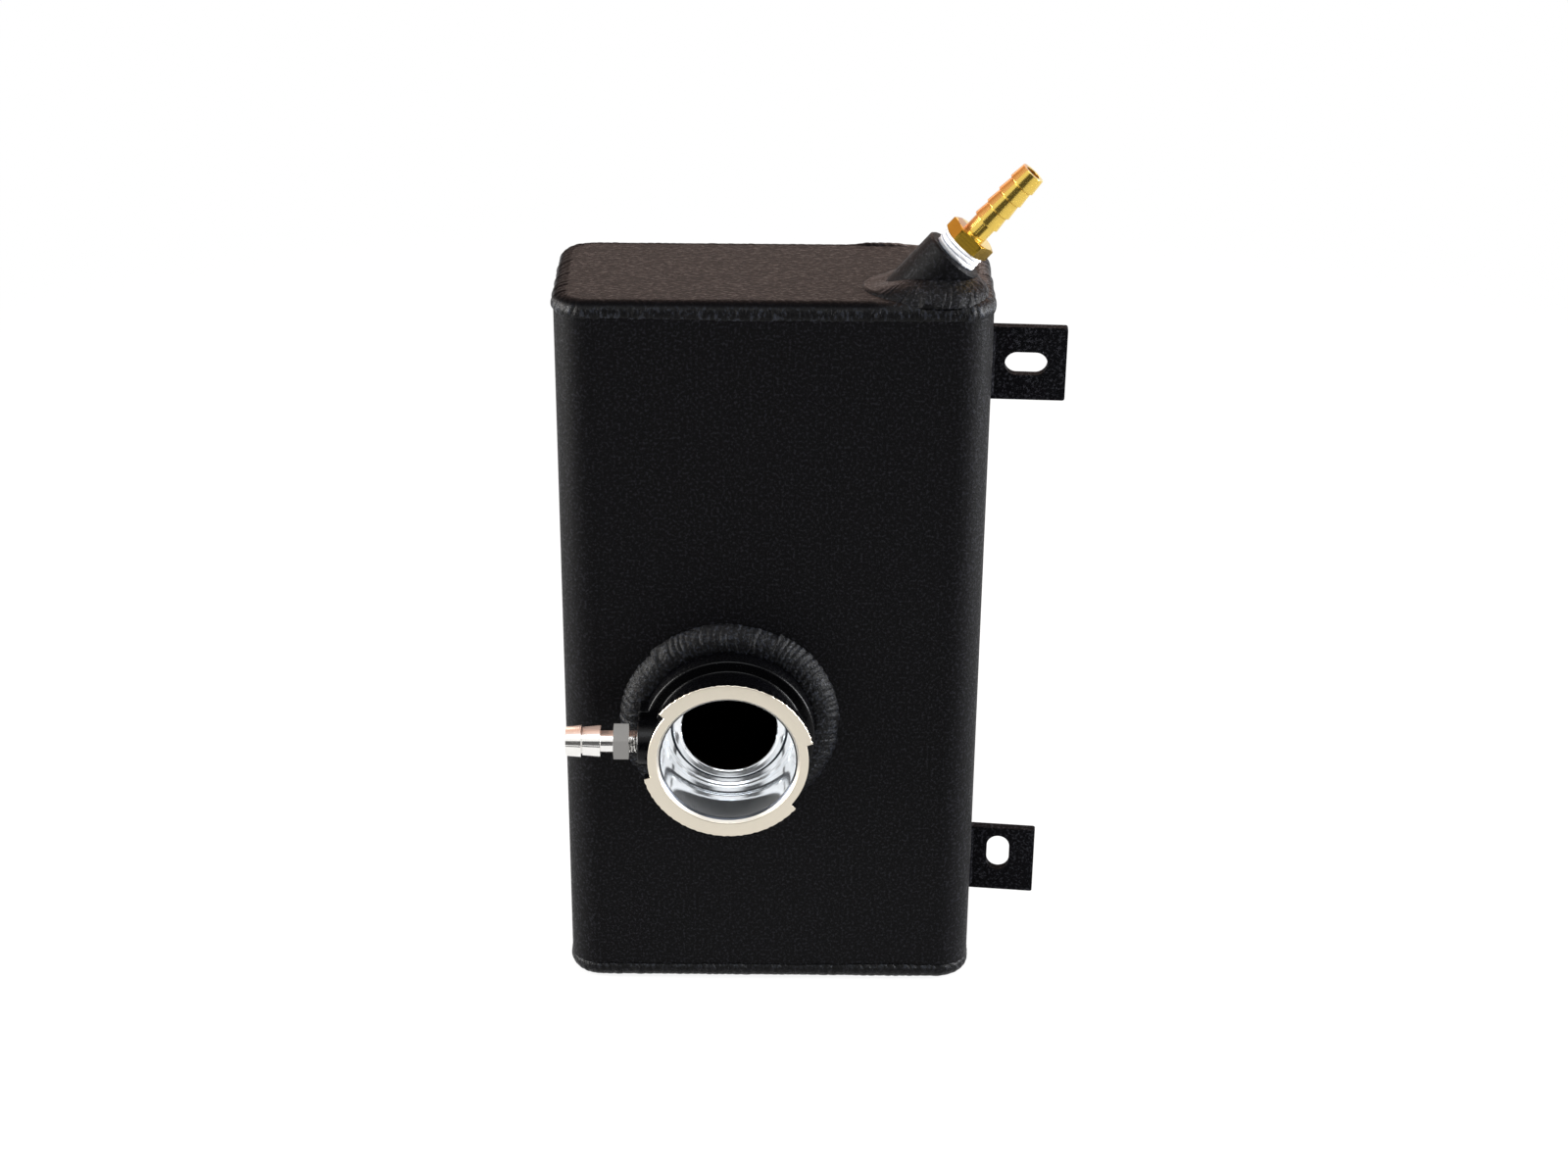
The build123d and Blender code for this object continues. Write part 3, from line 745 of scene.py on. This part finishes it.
def tabBeadGrid(middle, faceY, rear):
    # a quarter round in the tab's root, tapering to nothing at both ends, with a few lumps
    count, a = tabBead["count"], quarter["turn"]
    u = np.linspace(0, 1, count * quarter["steps"])[:, None]
    swell = lumps(np.clip(u, 0, 0.999) * count + quarter["bow"] * np.cos(2 * a), count, quarter["spread"])
    ends = np.clip(np.minimum(u, 1 - u) * tabBead["taper"], tabBead["tip"], 1) ** 0.5
    radius = (tabBead["radius"] + tabBead["raise"] * swell) * ends
    outward = 1 if rear else -1
    wall = tank["width"] / 2
    x = wall + radius * np.sin(a)
    y = faceY + outward * radius * np.cos(a)
    z = np.broadcast_to(middle + tabBead["half"] * (2 * u - 1), x.shape)
    rootX = np.full_like(u, wall - tabBead["sink"])
    rootY = np.full_like(u, faceY - outward * tabBead["sink"])
    root = np.stack([rootX, rootY, z[:, :1]], -1)
    return np.concatenate([np.stack([x, y, z], -1), root], 1)


for which, middle in (("upper", tank["height"] - tabBead["inset"]), ("lower", tabBead["inset"])):
    frontGrid = tabBeadGrid(middle, tabBead["faceY"], False)
    rearGrid = tabBeadGrid(middle, tabBead["faceY"] + tabBead["thick"], True)
    makePiece(which + "TabBead", [(frontGrid, False)], coatTab, which + "_tab_weld", 60)
    makePiece(which + "TabRearBead", [(rearGrid, False)], coatTab, which + "_tab_rear_weld", 60)

outlet = {"z": 30.0, "radius": 12.7, "leg": 3.9, "count": 36, "raise": 0.2, "sink": 0.5}


def outletBeadGrid():
    # a quarter round turned about the outlet's axis, with lumps
    count, a = outlet["count"], quarter["turn"]
    u = evenly(count, quarter["steps"])
    swell = lumps(count * u[:, None] + quarter["bow"] * np.cos(2 * a), count, quarter["spread"])
    reach = outlet["leg"] + outlet["raise"] * swell
    profile = np.stack([outlet["radius"] + reach * np.sin(a), reach * np.cos(a)], -1)
    profile = withInside(profile, [(outlet["radius"] - outlet["sink"], -outlet["sink"])])
    foot = (0, tank["depth"] / 2, outlet["z"])
    return turned(profile, 2 * pi * u, foot, (-1, 0, 0), (0, 0, 1), (0, 1, 0))


makePiece("outletBead", [(outletBeadGrid(), True)], coatSeam, "outlet_weld")

# solids that keep their own mesh
for name in ("tank_body", "bottom_plate", "vent_bung", "outlet_bung"):
    nodes[name].material_slots[0].material = coatFlat
for name in ("upper_tab", "lower_tab"):
    nodes[name].material_slots[0].material = coatTab
nodes["top_plate"].material_slots[0].material = coatTop
print("solids dressed")

# floor, light and camera; each pair is where a change starts and ends, in metres or as a part of the world's direction
white, unlit = (1, 1, 1, 1), (0, 0, 0, 1)
studio = {
    "floor": (0.9, 0.9, 0.9, 1), "floorSize": 8, "floorDrop": 0.0002, "lift": 0.88, "shadow": (0.3, 0.8),
    "floorEnd": (-0.46, -0.38), "floorSide": (0.26, 0.32),
    "fill": 0.45, "room": 0.03, "roomFront": (-0.6, -0.3), "roomTop": (0.44, 0.52), "roomSide": (0.42, 0.5),
    "sky": 1.08, "warm": (0.82, 0.45, 0.28, 1), "wallBack": (0.0, 0.6), "wallTop": (0.0, 0.3),
    "aim": (0, 0, 0.12),
}
bpy.ops.mesh.primitive_plane_add(size=studio["floorSize"], location=(0, 0, -studio["floorDrop"]))
floor = bpy.context.object
floor.name = "floor"


def mirrored(f):
    return f.ray("Glossy") | f.ray("Transmission")


def eitherSide(value):
    # distance from zero, to either side
    return value | (0 - value)


def floorFinish():
    # white straight on, keeping a shadow near the object alone; in mirrors the floor ends in front of the object
    f = newFinish("floorFinish")
    straight = f.ray("Camera")
    deep = f.along((0, 0, 0), (0, 1, 0))
    aside = f.along((0, 0, 0), (1, 0, 0))
    ending = f.ramp(deep, *studio["floorEnd"], studio["room"], 1) | f.ramp(eitherSide(aside), *studio["floorSide"])
    paper = f.node("BsdfDiffuse", None, {"Color": studio["floor"]})
    glow = f.node("Emission", None, {"Color": f.blend(straight | ending, unlit, white), "Strength": 1.0})
    lift = f.ramp(f.length(aside, deep), *studio["shadow"], studio["lift"], 1)
    return f.done(f.mix(straight * lift | mirrored(f), paper, glow))


def studioWorld():
    # white straight on and all round in mirrors, but for the dim room low down in front and a warm wall behind
    f = Finish(bpy.data.worlds.new("studio"), "OutputWorld")
    direction = f.node("TexCoord", out="Generated")
    x, y, z = (f.node("SeparateXYZ", None, {0: direction}, k) for k in range(3))
    room = f.ramp(y, *studio["roomFront"], 1, 0) * f.ramp(z, *studio["roomTop"], 1, 0)
    room = room * f.ramp(eitherSide(x), *studio["roomSide"], 1, 0)
    straight = f.ray("Camera")
    seen = mirrored(f) * (1 - room * (1 - studio["room"])) * studio["sky"]
    glow = straight | seen | (f.ray("Diffuse") * studio["fill"])
    warmth = f.ramp(y, *studio["wallBack"]) * f.ramp(z, *studio["wallTop"]) * (1 - straight)
    colour = f.blend(warmth, white, studio["warm"])
    return f.done(f.node("Background", None, {"Color": colour, "Strength": glow}))


floor.data.materials.append(floorFinish())
bpy.context.scene.world = studioWorld()

lamps = {
    "leftBox": {"at": (-1.0, -0.1, 0.26), "size": (0.5, 0.9), "power": 33.0, "colour": (1.0, 0.98, 0.95)},
    "rightBox": {"at": (1.0, -0.1, 0.26), "size": (0.5, 0.9), "power": 40.0, "colour": (0.97, 0.98, 1.0)},
    "frontBox": {"at": (0.0, -0.5, 1.15), "size": (1.0, 0.5), "power": 4.0, "colour": (0.92, 0.96, 1.0)},
    "backBox": {"at": (0.0, 1.3, 0.92), "size": (1.6, 0.7), "power": 11.5, "colour": (1.0, 0.82, 0.77)},
}
for name, lamp in lamps.items():
    data = bpy.data.lights.new(name, "AREA")
    data.shape = "RECTANGLE"
    data.size, data.size_y = lamp["size"]
    data.energy = lamp["power"]
    data.color = lamp["colour"]
    box = bpy.data.objects.new(name, data)
    box.location = lamp["at"]
    box.rotation_euler = (Vector(studio["aim"]) - box.location).to_track_quat("-Z", "Y").to_euler()
    bpy.context.scene.collection.objects.link(box)

# the camera's place in mm, its turns in degrees, and its lens and sensor in mm
view = {
    "at": (2.544, -858.23, 578.37), "pitch": 27.057, "yaw": 0.100, "roll": -0.4895,
    "lens": 65.184, "sensor": 36, "near": 0.01,
}
pitch, yaw, roll = (radians(view[k]) for k in ("pitch", "yaw", "roll"))
ahead = Vector((sin(yaw) * cos(pitch), cos(yaw) * cos(pitch), -sin(pitch)))
level = Vector((cos(yaw), -sin(yaw), 0))
above = level.cross(ahead)
right = cos(roll) * level - sin(roll) * above
top = right.cross(ahead)
camera = bpy.data.objects.new("camera", bpy.data.cameras.new("camera"))
camera.data.sensor_width = view["sensor"]
camera.data.sensor_fit = "HORIZONTAL"
camera.data.lens = view["lens"]
camera.data.clip_start = view["near"]
turn = Matrix((right, top, -ahead)).transposed().to_4x4()
camera.matrix_world = Matrix.Translation(Vector(view["at"]) * mm) @ turn
bpy.context.scene.collection.objects.link(camera)
bpy.context.scene.camera = camera
bpy.context.scene.view_settings.view_transform = "Standard"
print("floor, light and camera set")
